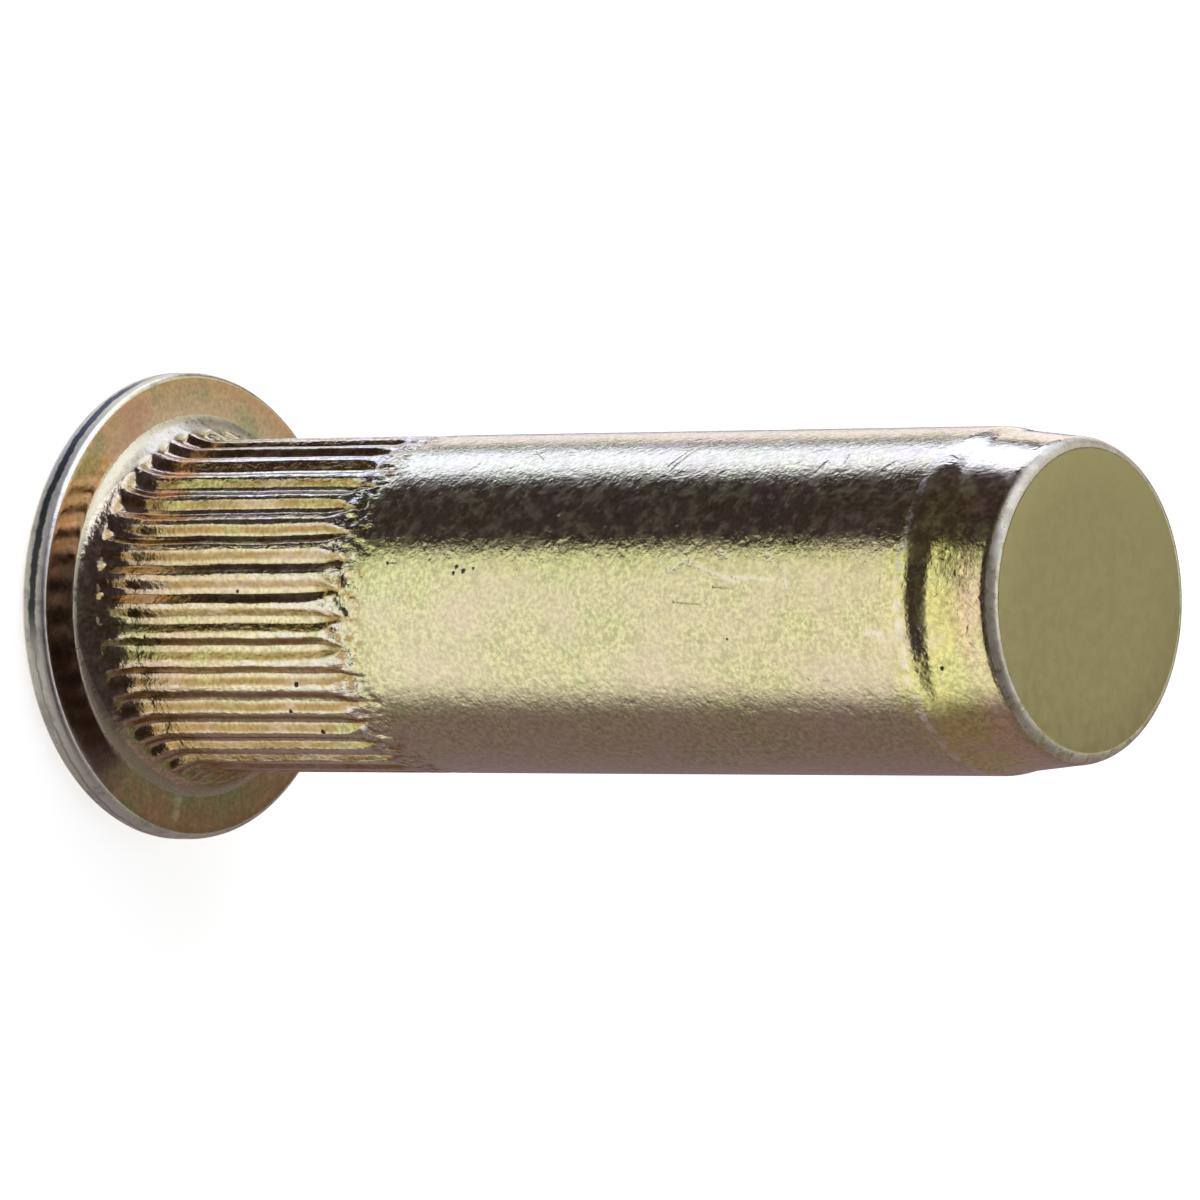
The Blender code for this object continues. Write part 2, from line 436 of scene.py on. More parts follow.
def threadTree(values):
    tree, size = newGeometryTree("threadWinding", values)
    helix = addNode(tree, "GeometryNodeCurveSpiral", {
        "Resolution": size["Steps Per Turn"], "Rotations": size["Turns"], "Start Radius": size["Foot Radius"],
        "End Radius": size["Foot Radius"], "Height": times(size["Pitch"], size["Turns"]),
        "Reverse": True})
    lift = vectorOf(Z=size["Start"])
    placed = addNode(tree, "GeometryNodeSetPosition", {"Geometry": helix.outputs[0], "Offset": lift})
    upright = addNode(tree, "GeometryNodeSetCurveNormal", {0: placed.outputs[0]}, mode="Z_UP")
    # section of the ridge: foot in the wall, crest towards the axis
    section = addNode(tree, "GeometryNodeCurvePrimitiveQuadrilateral", {
        "Height": size["Ridge Height"], "Bottom Width": size["Root Width"], "Top Width": size["Crest Width"],
        "Offset": 0.0}, mode="TRAPEZOID")
    shift = vectorOf(X=times(size["Ridge Height"], -0.5))
    turned = addNode(tree, "GeometryNodeTransform", {
        "Geometry": section.outputs[0], "Translation": shift, "Rotation": (0.0, 0.0, math.pi / 2)})
    # the ridge swells from the wall at its start and dies into it at its end
    along = addNode(tree, "GeometryNodeSplineParameter").outputs["Factor"]
    swell = times(ramp(along, 0.0, thread["endLength"], thread["endSize"], 1.0),
                  ramp(along, 1 - thread["endLength"], 1.0, 1.0, thread["endSize"]))
    wound = addNode(tree, "GeometryNodeCurveToMesh", {
        "Curve": upright.outputs[0], "Profile Curve": turned.outputs[0], "Scale": swell, "Fill Caps": True})
    flat = addNode(tree, "GeometryNodeSetShadeSmooth", {"Geometry": wound.outputs[0], "Shade Smooth": False})
    finishTree(tree, flat.outputs[0], size["Material"])
    return tree


def makeThread(material):
    start = blank["tapStart"] + thread["endGap"]
    turns = (blank["tapEnd"] - thread["endGap"] - start) / thread["pitch"]
    foot = blank["tapRadius"] + thread["sunk"]
    values = {
        "Pitch": thread["pitch"], "Turns": turns, "Foot Radius": foot,
        "Ridge Height": foot - thread["innerRadius"], "Crest Width": thread["crestWidth"],
        "Root Width": thread["rootWidth"], "Start": start,
        "Steps Per Turn": thread["stepsPerTurn"], "Material": material}
    ridge = applyTree(bpy.data.meshes.new("ridgeSeed"), "nut_thread", threadTree(values), values)
    print("thread:", round(turns, 1), "turns,", len(ridge.data.polygons), "faces")
    return ridge


# plating: its colours, and the effects that its materials use

plating = {
    "gold": (0.66, 0.60, 0.35, 1.0),
    "green": (0.59, 0.62, 0.27, 1.0),
    "pink": (0.74, 0.61, 0.44, 1.0),
    "headGreen": (0.40, 0.43, 0.20, 1.0),
    "headRed": (0.66, 0.36, 0.22, 1.0),
    "bareZinc": (0.84, 0.78, 0.63, 1.0),
    "pitBlack": (0.05, 0.035, 0.03, 1.0),
    "amber": (0.42, 0.28, 0.10, 1.0),
    "rubbed": (0.86, 0.78, 0.58, 1.0),
    # painted shade on the head's underside towards +X
    "undersideShade": (0.42, 0.24, 0.12, 1.0),
    "crestPale": (0.88, 0.84, 0.76, 1.0),
    # painted dark reflection of the shank on the near side of the head's underside
    "nearShadeColour": (0.18, 0.12, 0.10, 1.0),
    "edgeZinc": (0.85, 0.78, 0.56, 1.0),
    "rimPale": (0.94, 0.89, 0.74, 1.0),
    "rimWarm": (0.94, 0.86, 0.56, 1.0),
    # dark rim tone: the rim's painted dark reflection, its thin line and its clouds
    "rimDark": (0.05, 0.055, 0.05, 1.0),
    "gouge": (0.24, 0.23, 0.20, 1.0),
    "cream": (0.84, 0.76, 0.48, 1.0),
    "tick": (0.62, 0.52, 0.34, 1.0),
    "roughness": 0.14,
    "patchScale": 520.0,  # noise scales, per metre
    "speckleScale": 6200.0,
    "peelScale": 7200.0,
    "peelDepth": 0.012 * mm,
}


# A shader group with named sockets, their kinds given as Vector, Color or Float; its last one is the output.
def newShaderGroup(name, **sockets):
    tree = bpy.data.node_groups.new(name, "ShaderNodeTree")
    for label, kind in sockets.items():
        side = "OUTPUT" if label == list(sockets)[-1] else "INPUT"
        tree.interface.new_socket(name=label, in_out=side, socket_type="NodeSocket" + kind)
    return tree, tree.nodes.new("NodeGroupInput").outputs


def blendColour(share, first, second, mode="MIX"):
    return addNode(treeOf(share, first, second), "ShaderNodeMix", {0: share, 6: first, 7: second},
                   data_type="RGBA", blend_type=mode).outputs[2]


# Fractal noise; along is the share of its fineness that it keeps along the axis.
def noise(vector, scale, detail=3.0, roughness=0.55, along=1.0):
    if along != 1.0:
        vector = calcVector("MULTIPLY", vector, (1.0, 1.0, along))
    return addNode(treeOf(vector), "ShaderNodeTexNoise", {
        "Vector": vector, "Scale": scale, "Detail": detail, "Roughness": roughness}).outputs[0]


# thin-film bloom: the base drifts to green and pink in patches, under a fine light and dark grain
def bloomGroup():
    tree, given = newShaderGroup("chromateBloom", Vector="Vector", Base="Color", Green="Color",
                                 Pink="Color", Amount="Float", Grain="Float", Color="Color")
    patches = noise(given["Vector"], plating["patchScale"], 5.0, 0.6, along=0.6)
    toGreen = times(ramp(patches, 0.50, 0.66), given["Amount"])
    toPink = times(ramp(patches, 0.50, 0.34), given["Amount"])
    colour = blendColour(toGreen, given["Base"], given["Green"])
    colour = blendColour(toPink, colour, given["Pink"])
    speckle = noise(given["Vector"], plating["speckleScale"], 3.0, 0.6)
    depth = times(ramp(speckle, 0.34, 0.66, -1.0, 1.0), given["Grain"],
                  ramp(patches, 0.40, 0.62, 0.60, 1.15))
    shade = plus(depth, 1.0)
    grey = addNode(tree, "ShaderNodeCombineColor", {0: shade, 1: shade, 2: shade}).outputs[0]
    addNode(tree, "NodeGroupOutput", {"Color": blendColour(1.0, colour, grey, "MULTIPLY")})
    return tree


# fine uneven skin of the plated steel, as a height
def peelGroup():
    tree, given = newShaderGroup("orangePeel", Vector="Vector", Scale="Float", Height="Float")
    fine = noise(given["Vector"], given["Scale"])
    broad = noise(given["Vector"], times(given["Scale"], 0.28), 2.0)
    addNode(tree, "NodeGroupOutput", {"Height": plus(fine, times(broad, 1.4))})
    return tree


# bare metal that shows where a mask meets a broken noise
def wearGroup():
    tree, given = newShaderGroup("edgeWear", Vector="Vector", Scale="Float", Mask="Float", Wear="Float")
    broken = noise(given["Vector"], given["Scale"], 4.0, 0.65)
    lifted = plus(broken, times(minus(given["Mask"], 1.0), 0.5))
    addNode(tree, "NodeGroupOutput", {"Wear": ramp(lifted, 0.42, 0.56)})
    return tree


# one pit at a place: 1 inside, 0 outside
def pitGroup():
    tree, given = newShaderGroup("pit", Vector="Vector", Place="Vector", Size="Float", Ragged="Float",
                                 Pit="Float")
    away = calcVector("DISTANCE", given["Vector"], given["Place"])
    reach = plus(away, times(given["Ragged"], given["Size"], 0.8))
    outer = times(given["Size"], 1.15)
    inner = times(given["Size"], 0.65)
    addNode(tree, "NodeGroupOutput", {"Pit": ramp(reach, inner, outer, 1.0, 0.0)})
    return tree


# a scratch between two places: 1 on its line, 0 beside it
def scratchGroup():
    tree, given = newShaderGroup("scratch", Vector="Vector", From="Vector", To="Vector", Width="Float",
                                 Ragged="Float", Scratch="Float")
    line = calcVector("SUBTRACT", given["To"], given["From"])
    here = calcVector("SUBTRACT", given["Vector"], given["From"])
    share = calc("DIVIDE", calcVector("DOT_PRODUCT", here, line),
                 calcVector("DOT_PRODUCT", line, line))
    share = calc("MINIMUM", calc("MAXIMUM", share, 0.0), 1.0)
    away = calcVector("DISTANCE", here, lengthened(line, share))
    reach = plus(away, times(given["Ragged"], given["Width"]))
    inner = times(given["Width"], 0.4)
    outer = times(given["Width"], 1.3)
    addNode(tree, "NodeGroupOutput", {"Scratch": ramp(reach, inner, outer, 1.0, 0.0)})
    return tree


def place(group, inputs):
    return addNode(treeOf(*inputs.values()), "ShaderNodeGroup", inputs, node_tree=group).outputs[0]


def newMetal(name):
    material = bpy.data.materials.new(name)
    material.use_nodes = True
    shader = material.node_tree.nodes["Principled BSDF"]
    shader.inputs["Metallic"].default_value = 1.0
    return material, material.node_tree, shader


def bendSurface(tree, shader, height):
    bump = addNode(tree, "ShaderNodeBump", {
        "Height": height, "Strength": 1.0, "Distance": plating["peelDepth"]})
    tree.links.new(bump.outputs[0], shader.inputs["Normal"])


# the body's zones: pairs say where one starts to change and where it has changed

zones = {
    "rimInset": (-0.21 * mm, -0.15 * mm),  # from the head's outer radius
    "rimSideInset": (-0.06 * mm, -0.02 * mm),
    "rimTop": (1.02 * mm, 1.12 * mm),  # where the bare rim gives way to the underside
    "underside": (1.10 * mm, 1.18 * mm),  # where the head gives way to the neck
    "shoulderEdge": (-0.30 * mm, 0.12 * mm),  # from the start of the shoulder
    "shoulderSoft": 0.12 * mm,
    "faceEdge": (-0.03 * mm, 0.04 * mm),  # from the closed end's flat face outwards
    "endEdge": (-0.36 * mm, -0.22 * mm),  # from the closed end
    # the head's near side, where the underside gets a painted dark reflection of the shank
    "nearTurns": (-15, 54, 9),  # degrees round the head's darkest side
    "nearShare": 0.95,
    "blotchScale": 1700.0,
    "cloudScale": 2200.0,
}


# Smooth step of a value between two offsets from an origin.
def rampFrom(value, origin, offsets):
    return ramp(value, origin + offsets[0], origin + offsets[1])


def radians(degrees):
    return [math.radians(value) for value in degrees]


# Sockets for the places and zones on the body; turns are 0 towards -Y and grow towards +X.
def bodyZones(tree):
    spot = addNode(tree, "ShaderNodeTexCoord").outputs["Object"]
    split = addNode(tree, "ShaderNodeSeparateXYZ", {0: spot}).outputs
    flat = vectorOf(X=split["X"], Y=split["Y"])
    radius, height = calcVector("LENGTH", flat), split["Z"]
    turn = calc("ARCTAN2", split["X"], times(split["Y"], -1.0))
    zone = {"spot": spot, "x": split["X"], "height": height, "turn": turn}
    for name in ("groove", "crest", "grooveStart", "runOut"):
        zone[name] = addNode(tree, "ShaderNodeAttribute", attribute_name=name).outputs["Fac"]

    outer = rampFrom(radius, blank["headRadius"], zones["rimInset"])
    zone["rim"] = times(outer, ramp(height, *zones["rimTop"], 1.0, 0.0))
    zone["rimSide"] = rampFrom(radius, blank["headRadius"], zones["rimSideInset"])
    byHead = ramp(height, *zones["underside"], 1.0, 0.0)
    # painted dark reflection: the near side of the head's underside
    nearSide = times(byHead, window(turn, *radians(zones["nearTurns"])))
    zone["byHead"], zone["nearSide"] = byHead, times(nearSide, zones["nearShare"])

    shoulder = blank["fullLength"] - blank["noseLength"]
    low, high = zones["shoulderEdge"]
    zone["shoulderEdge"] = window(height, shoulder + low, shoulder + high, zones["shoulderSoft"])
    faceRadius = blank["shankRadius"] - blank["shoulderDrop"] - blank["landTaper"] - blank["endEdgeWidth"]
    offFace = rampFrom(radius, faceRadius, zones["faceEdge"])
    nearEnd = rampFrom(height, blank["fullLength"], zones["endEdge"])
    zone["endRing"] = times(offFace, nearEnd)
    zone["endFace"] = times(nearEnd, minus(1.0, offFace))
    zone["plain"] = minus(1.0, zone["endFace"])
    zone["smooth"] = times(zone["plain"], minus(1.0, byHead))
    # two noises that more than one effect shares
    zone["blotches"] = noise(spot, zones["blotchScale"], 2.0, 0.4)
    zone["clouds"] = noise(spot, zones["cloudScale"], 4.0)
    return zone


# how the chromate's gold drifts from the head to the closed end: height in mm, colour
tints = (
    (1.105, (0.68, 0.42, 0.20, 1.0)),
    (1.14, (0.80, 0.70, 0.46, 1.0)),
    (1.5, (0.70, 0.56, 0.36, 1.0)),
    (2.3, (0.64, 0.47, 0.30, 1.0)),
    (3.6, (0.66, 0.50, 0.31, 1.0)),
    (6.5, (0.75, 0.65, 0.39, 1.0)),
    (9.0, (0.79, 0.71, 0.44, 1.0)),
    (12.5, (0.68, 0.63, 0.37, 1.0)),
    (22.0, (0.66, 0.60, 0.35, 1.0)),
    (33.5, (0.67, 0.59, 0.34, 1.0)),
    (35.0, (0.76, 0.69, 0.26, 1.0)),
    (36.2, (0.76, 0.68, 0.26, 1.0)),
    (36.75, (0.82, 0.62, 0.34, 1.0)),
    (37.1, (0.80, 0.64, 0.38, 1.0)),
    (37.75, (0.55, 0.48, 0.21, 1.0)),
)

film = {
    "strayScale": 380.0,
    "stray": 3.0 * mm,  # how far the tints stray along the nut
    "strayZone": (2.5 * mm, 32 * mm, 1.0 * mm),  # low, high and softness
    "flankAmber": 4.5,
    "bloom": 0.52,
    "headBloom": 0.23,
    "grain": 0.18,
    "headGrainLoss": 0.07,
    "leastGrain": 0.02,
    "undersideShadeFrom": (-1.0 * mm, 7.0 * mm),  # x over which the underside's painted shade grows
    "undersideShadeShare": 0.55,
    "creamTurns": (-52, -36),
    "creamHeights": (33.8 * mm, 34.6 * mm),
}


# Chromate colour by height along the nut.
def tintByHeight(height):
    top = tints[-1][0]
    made = addNode(treeOf(height), "ShaderNodeValToRGB", {0: calc("DIVIDE", height, top * mm)})
    band = made.color_ramp
    band.elements[0].position, band.elements[1].position = 0.0, 1.0
    for stop, _ in tints[1:-1]:
        band.elements.new(stop / top)
    for element, (stop, colour) in zip(band.elements, tints):
        element.position, element.color = stop / top, colour
    return made.outputs[0]


# The film's gold, its amber on the grooves' flanks, the painted shade and painted dark reflection by the
# head, and its bloom.
def filmColour(zone, groups):
    byHead, groove, height = zone["byHead"], zone["groove"], zone["height"]
    stray = times(minus(noise(zone["spot"], film["strayScale"]), 0.5), film["stray"],
                  window(height, *film["strayZone"]))
    base = tintByHeight(plus(height, stray))
    flank = times(groove, minus(1.0, groove), film["flankAmber"])
    base = blendColour(calc("MINIMUM", flank, 1.0), base, plating["amber"])

    # the head's underside is painted darker towards +X, a painted shade, and darkest on its near side, a
    # painted dark reflection of the shank
    undersideShading = times(byHead, ramp(zone["x"], *film["undersideShadeFrom"], 0.0, film["undersideShadeShare"]))
    base = blendColour(undersideShading, base, plating["undersideShade"])
    base = blendColour(zone["nearSide"], base, plating["nearShadeColour"])
    # the lemon tint past the shoulder stops short on one side
    pale = times(ramp(zone["turn"], *radians(film["creamTurns"]), 1.0, 0.0),
                 ramp(height, *film["creamHeights"]))
    base = blendColour(times(pale, zone["plain"]), base, plating["cream"])

    bloom = plus(times(zone["plain"], film["bloom"]), times(byHead, film["headBloom"]))
    grain = minus(film["grain"], times(byHead, film["headGrainLoss"]))
    return place(groups["bloom"], {
        "Vector": zone["spot"], "Base": base,
        "Green": blendColour(byHead, plating["green"], plating["headGreen"]),
        "Pink": blendColour(byHead, plating["pink"], plating["headRed"]),
        "Amount": times(bloom, minus(1.0, zone["nearSide"])),
        "Grain": plus(times(zone["plain"], grain), film["leastGrain"])})


# the rim's bare metal: windows are low, high and softness
rim = {
    "ragged": 0.30 * mm,  # how far the dark band's edges stray
    "raggedScale": 1500.0,
    # the band is a painted dark reflection on one side of the rim
    "bandHeights": (0.56 * mm, 0.86 * mm, 0.05 * mm),
    "bandTurns": (-74, 8, 9),
    "lineHeights": (0.66 * mm, 0.76 * mm, 0.05 * mm),
    "lineShare": 0.5,
    "cloudShare": 0.35,
    "cloudScale": 900.0,
    "warmTurns": (-60, -35),
}


# The rim is bare and pale, with a band of painted dark reflection along part of it.
def rimColour(zone, colour):
    ragged = times(noise(zone["spot"], rim["raggedScale"], 4.0, 0.65), rim["ragged"])
    bandHeight = plus(zone["height"], ragged)
    darkReflectionBand = times(window(bandHeight, *rim["bandHeights"]),
                     window(zone["turn"], *radians(rim["bandTurns"])))
    thinLine = times(window(bandHeight, *rim["lineHeights"]), rim["lineShare"])
    clouds = noise(zone["spot"], rim["cloudScale"], 5.0, 0.7)
    cloudy = ramp(clouds, 0.50, 0.66, 0.0, rim["cloudShare"])
    tone = calc("MAXIMUM", calc("MAXIMUM", darkReflectionBand, thinLine), cloudy)
    base = blendColour(ramp(zone["turn"], *radians(rim["warmTurns"])),
                       plating["rimWarm"], plating["rimPale"])
    return blendColour(zone["rim"], colour, blendColour(tone, base, plating["rimDark"]))


# the pale line round the neck's foot: partly a painted highlight of the fillet, paler on one side, and partly
# a worn edge
neckLine = {
    "foot": (1.10 * mm, 1.13 * mm),
    "top": (1.16 * mm, 1.20 * mm),
    "leftTurns": (-62, -24),
    "leftRise": 0.54 * mm,  # how much higher it reaches towards -X
    "rightTurns": (8, 40),
    "rightRise": 0.22 * mm,
    "toneTurn": 0.5,  # radians over which its painted highlight turns from cream to dull
}


def neckLineMask(zone):
    left = ramp(zone["turn"], *radians(neckLine["leftTurns"]), neckLine["leftRise"], 0.0)
    right = ramp(zone["turn"], *radians(neckLine["rightTurns"]), 0.0, neckLine["rightRise"])
    belowTop = minus(zone["height"], plus(left, right))
    return times(ramp(zone["height"], *neckLine["foot"]),
                 ramp(belowTop, *neckLine["top"], 1.0, 0.0))


# how much each zone wears, and how fine its pattern is
wear = {
    "shoulder": 0.98,
    "endRing": 1.15,
    "neckLine": 1.2,
    "edgeScale": 2600.0,
    "tick": 1.02,  # dull ticks where the grooves start
    "tickScale": 3600.0,
    "crestsToEnd": (6.0 * mm, 10.5 * mm, 0.80, 1.0),  # crests rub more towards the grooves' ends
    "runOut": 0.72,
    "crestScale": 3000.0,
    "crestShare": 0.5,
    "tarnish": 0.55,
    "smear": 0.85,
    "smearScale": 3400.0,
}


# Worn edges, ticks and crests; adds the masks of the worn edges and ticks to the zones.
def wornColour(zone, groups, colour):
    spot = zone["spot"]
    edges = plus(times(zone["shoulderEdge"], wear["shoulder"]),
                 times(zone["endRing"], wear["endRing"]))
    edges = plus(edges, times(zone["neckLine"], wear["neckLine"]))
    zone["worn"] = place(groups["wear"], {"Vector": spot, "Scale": wear["edgeScale"], "Mask": edges})
    zone["ticks"] = place(groups["wear"], {
        "Vector": spot, "Scale": wear["tickScale"], "Mask": times(zone["grooveStart"], wear["tick"])})
    crests = times(zone["crest"], ramp(zone["height"], *wear["crestsToEnd"]))
    rubbed = place(groups["wear"], {
        "Vector": calcVector("MULTIPLY", spot, (1.0, 1.0, 0.4)), "Scale": wear["crestScale"],
        "Mask": plus(crests, times(zone["runOut"], wear["runOut"]))})

    # painted highlight: the neck line is cream on one side and dull on the other, shown where the wear breaks
    # through
    neckHighlightTone = blendColour(ramp(zone["turn"], 0.0, neckLine["toneTurn"]),
                           plating["cream"], plating["tick"])
    bare = blendColour(zone["neckLine"], plating["edgeZinc"], neckHighlightTone)
    tarnished = times(zone["endRing"], ramp(zone["blotches"], 0.44, 0.60, 0.0, wear["tarnish"]))
    bare = blendColour(tarnished, bare, plating["tick"])
    colour = blendColour(zone["worn"], colour, bare)
    colour = blendColour(zone["ticks"], colour, plating["tick"])
    colour = blendColour(times(rubbed, wear["crestShare"]), colour, plating["crestPale"])
    # amber is smeared over the ends of the grooves
    streaks = noise(spot, wear["smearScale"], 4.0, 0.65, along=0.7)
    smeared = times(zone["runOut"], ramp(streaks, 0.50, 0.60, 0.0, wear["smear"]))
    return blendColour(smeared, colour, plating["amber"])


marks = {
    # single pits: degrees round the shank from the view side, height in mm, size in mm
    "pits": (
        (23, 35.7, 0.11), (28, 9.4, 0.13), (39, 8.7, 0.11), (49, 9.5, 0.13), (-3, 5.0, 0.11), (-5, 7.3, 0.09),
        (-12.6, 16.6, 0.11), (-11.2, 16.9, 0.13), (-10.4, 16.5, 0.10), (-12.0, 17.3, 0.09),
        (-14.0, 13.7, 0.10), (-12, 5.0, 0.12), (-31, 20.3, 0.07), (12, 27.6, 0.06), (150, 18.0, 0.10),
        (-130, 26.5, 0.12), (95, 7.0, 0.12), (-100, 12.0, 0.10),
    ),
    # scratches and nicks, pale from rubbing: degrees and height in mm at both ends, width in mm
    "scratches": (
        (-10.7, 25.3, -14.0, 25.9, 0.21), (-13.3, 26.1, -6.9, 27.9, 0.20), (-8.2, 27.9, -7.4, 29.5, 0.19),
        (-10.4, 29.9, -5.4, 30.0, 0.20), (-16.5, 29.1, -14.4, 29.3, 0.26), (-16.7, 27.2, -14.9, 27.6, 0.24),
        (9.8, 33.2, 10.5, 33.7, 0.30), (120, 15.0, 133, 19.0, 0.09), (170, 24.0, 158, 28.5, 0.08),
        (-120, 30.0, -112, 33.0, 0.09),
    ),
    # gouges, which catch less light: the same five values
    "gouges": (
        (-64.9, 24.25, -49.5, 23.95, 0.10), (-62.6, 24.0, -52.0, 23.7, 0.07),
        (-53.6, 30.0, -47.4, 29.85, 0.09), (-56.9, 30.65, -52.0, 30.75, 0.08),
        (-5.3, 27.15, -4.9, 27.9, 0.10), (-0.4, 25.57, 0.3, 26.6, 0.08), (-63.0, 17.6, -57.0, 18.3, 0.06),
        (88, 21.0, 101, 21.8, 0.08), (-150, 9.5, -141, 14.0, 0.07),
    ),
    # rub marks on the head's underside: x, y and size in mm
    "rubs": ((6.4, -1.1, 0.42), (6.9, -1.2, 0.36), (-6.7, -2.3, 0.10), (-6.8, 1.2, 0.10), (2.0, 6.9, 0.20)),
    "raggedScale": 8500.0,
    "rubShare": 0.45,
    "shown": (("scratched", 0.85, "rubbed"), ("gouged", 0.35, "gouge")),  # share and colour
}


# Adds the masks of the single marks to the zones; they lie on the unrolled shank or under the head.
def markZones(zone, groups):
    unrolled = vectorOf(X=times(zone["turn"], blank["shankRadius"]), Y=zone["height"])
    arc = math.radians(blank["shankRadius"])  # length of one degree round the shank
    ragged = noise(zone["spot"], marks["raggedScale"], 2.0)
    for name, lines in (("scratched", marks["scratches"]), ("gouged", marks["gouges"])):
        zone[name] = 0.0
        for fromTurn, fromHeight, toTurn, toHeight, width in lines:
            here = place(groups["scratch"], {
                "Vector": unrolled, "From": (fromTurn * arc, fromHeight * mm, 0),
                "To": (toTurn * arc, toHeight * mm, 0), "Width": width * mm, "Ragged": ragged})
            zone[name] = calc("MAXIMUM", zone[name], here)
    for x, y, across in marks["rubs"]:
        here = place(groups["pit"], {
            "Vector": zone["spot"], "Place": (x * mm, y * mm, blank["headThickness"]), "Size": across * mm,
            "Ragged": ragged})
        zone["scratched"] = calc("MAXIMUM", zone["scratched"], times(here, marks["rubShare"]))
    zone["pitted"] = 0.0
    for degrees, level, across in marks["pits"]:
        here = place(groups["pit"], {
            "Vector": unrolled, "Place": (degrees * arc, level * mm, 0), "Size": across * mm,
            "Ragged": ragged})
        zone["pitted"] = calc("MAXIMUM", zone["pitted"], here)


# how each zone changes the skin: heights as shares of the peel's depth, added roughness, lost metal
skin = {
    "leastPeel": 0.2,  # share of the peel left on the head and the end's face
    "nosePeel": (34.4 * mm, 35.0 * mm, 1.0, 0.55),  # the peel is shallower past the shoulder
    "chatterScale": 5200.0,
    "crestChatter": 2.4,
    "runOutChatter": 3.6,
    "edgeChatter": 1.2,
    "sunk": {"dents": 0.5, "pitted": 4.0, "scratched": 0.6, "gouged": 1.2},
    "gloss": (-0.04, 0.05),  # either side of the plating's roughness, in clouds
    "rougher": {"endFace": 0.20, "rim": 0.14, "rimSide": 0.16, "scratched": 0.1, "worn": 0.12,
                "endRing": 0.10, "neckLine": 0.04, "ticks": 0.25, "nearSide": 0.10},
    "cloudDull": 0.10,
    "dull": {"rimSide": 0.65, "endRing": 0.5, "neckLine": 0.30, "ticks": 0.4},
}


# Fine skin everywhere, rougher on worn crests, on turned edges and where the grooves run out.
def skinHeight(zone, groups):
    height = place(groups["peel"], {"Vector": zone["spot"], "Scale": plating["peelScale"]})
    kept = plus(times(zone["smooth"], 1 - skin["leastPeel"]), skin["leastPeel"])
    height = times(height, kept, ramp(zone["height"], *skin["nosePeel"]))
    chatter = noise(zone["spot"], skin["chatterScale"], 3.0, 0.6, along=0.45)
    rougher = plus(times(zone["crest"], skin["crestChatter"]),
                   times(zone["runOut"], skin["runOutChatter"]))
    height = plus(height, times(chatter, rougher))
    turnedEdge = calc("MAXIMUM", zone["rim"], zone["endRing"])
    height = plus(height, times(chatter, turnedEdge, skin["edgeChatter"]))
    zone["dents"] = times(ramp(zone["blotches"], 0.60, 0.72), zone["smooth"])
    for name, depth in skin["sunk"].items():
        height = minus(height, times(zone[name], depth))
    return height


def skinRoughness(zone):
    low, high = (plating["roughness"] + change for change in skin["gloss"])
    rough = ramp(zone["clouds"], 0.35, 0.65, low, high)
    for name, more in skin["rougher"].items():
        rough = plus(rough, times(zone[name], more))
    return rough


# The film is cloudy in patches, and sheared and worn edges are dull.
def skinMetallic(zone):
    dull = times(ramp(zone["clouds"], 0.44, 0.66, 0.0, skin["cloudDull"]), zone["smooth"])
    for name, share in skin["dull"].items():
        dull = calc("MAXIMUM", dull, times(zone[name], share))
    return minus(1.0, dull)


def bodyMaterial(groups):
    material, tree, shader = newMetal("yellow_zinc")
    zone = bodyZones(tree)
    zone["neckLine"] = neckLineMask(zone)
    markZones(zone, groups)
    colour = filmColour(zone, groups)
    colour = rimColour(zone, colour)
    colour = wornColour(zone, groups, colour)
    for mask, share, tone in marks["shown"]:
        colour = blendColour(times(zone[mask], share), colour, plating[tone])
    # pits are coloured near-black
    colour = blendColour(zone["pitted"], colour, plating["pitBlack"])
    tree.links.new(colour, shader.inputs["Base Color"])
    bendSurface(tree, shader, skinHeight(zone, groups))
    tree.links.new(skinRoughness(zone), shader.inputs["Roughness"])
    tree.links.new(skinMetallic(zone), shader.inputs["Metallic"])
    print("plating: body's material built")
    return material


threadPlating = {
    "bloom": 0.4,
    "grain": 0.06,
    "wear": 0.75,
    "wearScale": 2400.0,
    "cloudScale": 1300.0,
    "rougher": 0.1,
}


def threadMaterial(groups):
    material, tree, shader = newMetal("yellow_zinc_thread")
    spot = addNode(tree, "ShaderNodeTexCoord").outputs["Object"]
    colour = place(groups["bloom"], {
        "Vector": spot, "Base": plating["gold"], "Green": plating["green"], "Pink": plating["pink"],
        "Amount": threadPlating["bloom"], "Grain": threadPlating["grain"]})
    worn = place(groups["wear"], {
        "Vector": spot, "Scale": threadPlating["wearScale"], "Mask": threadPlating["wear"]})
    tree.links.new(blendColour(worn, colour, plating["bareZinc"]), shader.inputs["Base Color"])
    bendSurface(tree, shader, place(groups["peel"], {"Vector": spot, "Scale": plating["peelScale"]}))
    clouds = noise(spot, threadPlating["cloudScale"], 4.0)
    low, high = plating["roughness"], plating["roughness"] + threadPlating["rougher"]
    tree.links.new(ramp(clouds, 0.35, 0.65, low, high), shader.inputs["Roughness"])
    return material


# studio: a white floor for the camera, and a world of soft boxes that only the metal mirrors

